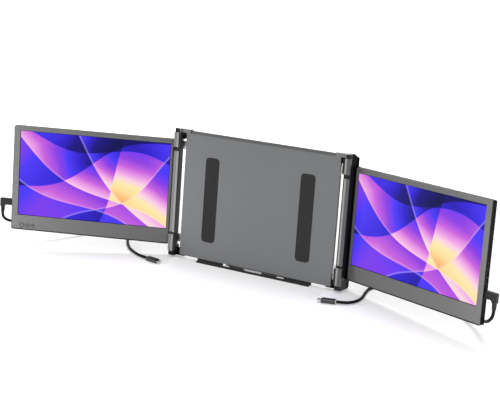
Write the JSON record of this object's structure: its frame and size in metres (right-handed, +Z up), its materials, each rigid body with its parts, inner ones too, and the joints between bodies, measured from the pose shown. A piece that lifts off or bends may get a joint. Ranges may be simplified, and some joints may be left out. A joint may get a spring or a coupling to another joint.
{
  "type": "portable monitor",
  "caption": "Telescopic bracket that clips round a laptop lid, carrying a hinged flat screen on each side, a swing-out stand foot, press keys and short plug-in cables.",
  "frame": {"origin": "middle of the table foot's front bar, on the table", "axes": "+X to the user's right, +Y away from the user, +Z up"},
  "size_m": [0.9124, 0.2157, 0.2225],
  "materials": {
    "plate_grey": "anodised, fine satin",
    "bracket_black": "moulded, fine grain",
    "arm_black": "powder coated, satin",
    "rail_grey": "satin silver grey",
    "hinge_black": "black anodised",
    "rubber_black": "matte",
    "steel": "brushed",
    "stand_black": "black coated steel",
    "liner_white": "plain acetal",
    "bezel_grey": "satin grey film",
    "display": "lit picture under clear glass",
    "light_guide": "white film",
    "screen_black": "moulded, satin",
    "board_green": "solder mask",
    "port_metal": "tinned",
    "key_black": "satin",
    "plug_grey": "moulded, satin",
    "cable_black": "smooth jacket"
  },
  "bodies": {
    "bracket": {"centre_front_plate": "plate_grey", "centre_rear_cover": "bracket_black", "lid_grip_pads": "rubber_black", "table_foot": "rubber_black", "guide_pins": "steel", "slide_liners": "liner_white", "cover_screws": "steel", "stand_hinge_pin": "steel"},
    "stand": {"stand_foot": "stand_black", "stand_foot_pads": "rubber_black"},
    "left_arm": {"left_arm_frame": "arm_black", "left_slide_tongues": "steel", "left_rail_trim": "rail_grey", "left_upper_claw": "rail_grey", "left_lower_claw": "rail_grey", "left_claw_pads": "rubber_black", "left_upper_hinge_block": "hinge_black", "left_lower_hinge_block": "hinge_black", "left_hinge_pins": "steel", "left_arm_screws": "steel", "left_cable": "cable_black", "left_straight_plug": "plug_grey", "left_plug_tip": "port_metal"},
    "left_screen": {"left_bezel": "bezel_grey", "left_lcd_panel": "display", "left_backlight": "light_guide", "left_rear_cover": "screen_black", "left_driver_board": "board_green", "left_port_shells": "port_metal", "left_hinge_barrel": "hinge_black", "left_hinge_bushes": "liner_white", "left_screen_screws": "steel", "left_angled_plug": "plug_grey"},
    "right_arm": {"right_arm_frame": "arm_black", "right_slide_tongues": "steel", "right_rail_trim": "rail_grey", "right_upper_claw": "rail_grey", "right_lower_claw": "rail_grey", "right_claw_pads": "rubber_black", "right_upper_hinge_block": "hinge_black", "right_lower_hinge_block": "hinge_black", "right_hinge_pins": "steel", "right_arm_screws": "steel", "right_cable": "cable_black", "right_straight_plug": "plug_grey", "right_plug_tip": "port_metal"},
    "right_screen": {"right_bezel": "bezel_grey", "right_lcd_panel": "display", "right_backlight": "light_guide", "right_rear_cover": "screen_black", "right_driver_board": "board_green", "right_port_shells": "port_metal", "right_hinge_barrel": "hinge_black", "right_hinge_bushes": "liner_white", "right_screen_screws": "steel", "right_angled_plug": "plug_grey"},
    "power_key": {"power_button": "key_black"},
    "up_key": {"up_button": "key_black"},
    "down_key": {"down_button": "key_black"}
  },
  "joints": [
    {"name": "left_slide", "type": "slide", "parent": "bracket", "child": "left_arm", "axis": [-1, 0, 0], "range_m": [-0.008, 0.022]},
    {"name": "right_slide", "type": "slide", "parent": "bracket", "child": "right_arm", "axis": [1, 0, 0], "range_m": [-0.008, 0.022]},
    {"name": "left_hinge", "type": "hinge", "parent": "left_arm", "child": "left_screen", "pos_m": [-0.1667, 0.0288, 0.1096], "axis": [0, 0.1564, 0.9877], "range_deg": [-204.2, 11.8], "deforming": ["left_cable"]},
    {"name": "right_hinge", "type": "hinge", "parent": "right_arm", "child": "right_screen", "pos_m": [0.1667, 0.03878, 0.10802], "axis": [0, -0.1564, -0.9877], "range_deg": [-200, 16], "deforming": ["right_cable"]},
    {"name": "stand_hinge", "type": "hinge", "parent": "bracket", "child": "stand", "pos_m": [0, 0.00519, 0.00339], "axis": [1, 0, 0], "range_deg": [0, 81]},
    {"name": "power_press", "type": "slide", "parent": "left_screen", "child": "power_key", "axis": [-0.4099, 0.9009, -0.1427], "range_m": [0, 0.0006], "stiffness_N_per_m": 300},
    {"name": "up_press", "type": "slide", "parent": "left_screen", "child": "up_key", "axis": [-0.4099, 0.9009, -0.1427], "range_m": [0, 0.0006], "stiffness_N_per_m": 300},
    {"name": "down_press", "type": "slide", "parent": "left_screen", "child": "down_key", "axis": [-0.4099, 0.9009, -0.1427], "range_m": [0, 0.0006], "stiffness_N_per_m": 300}
  ]
}
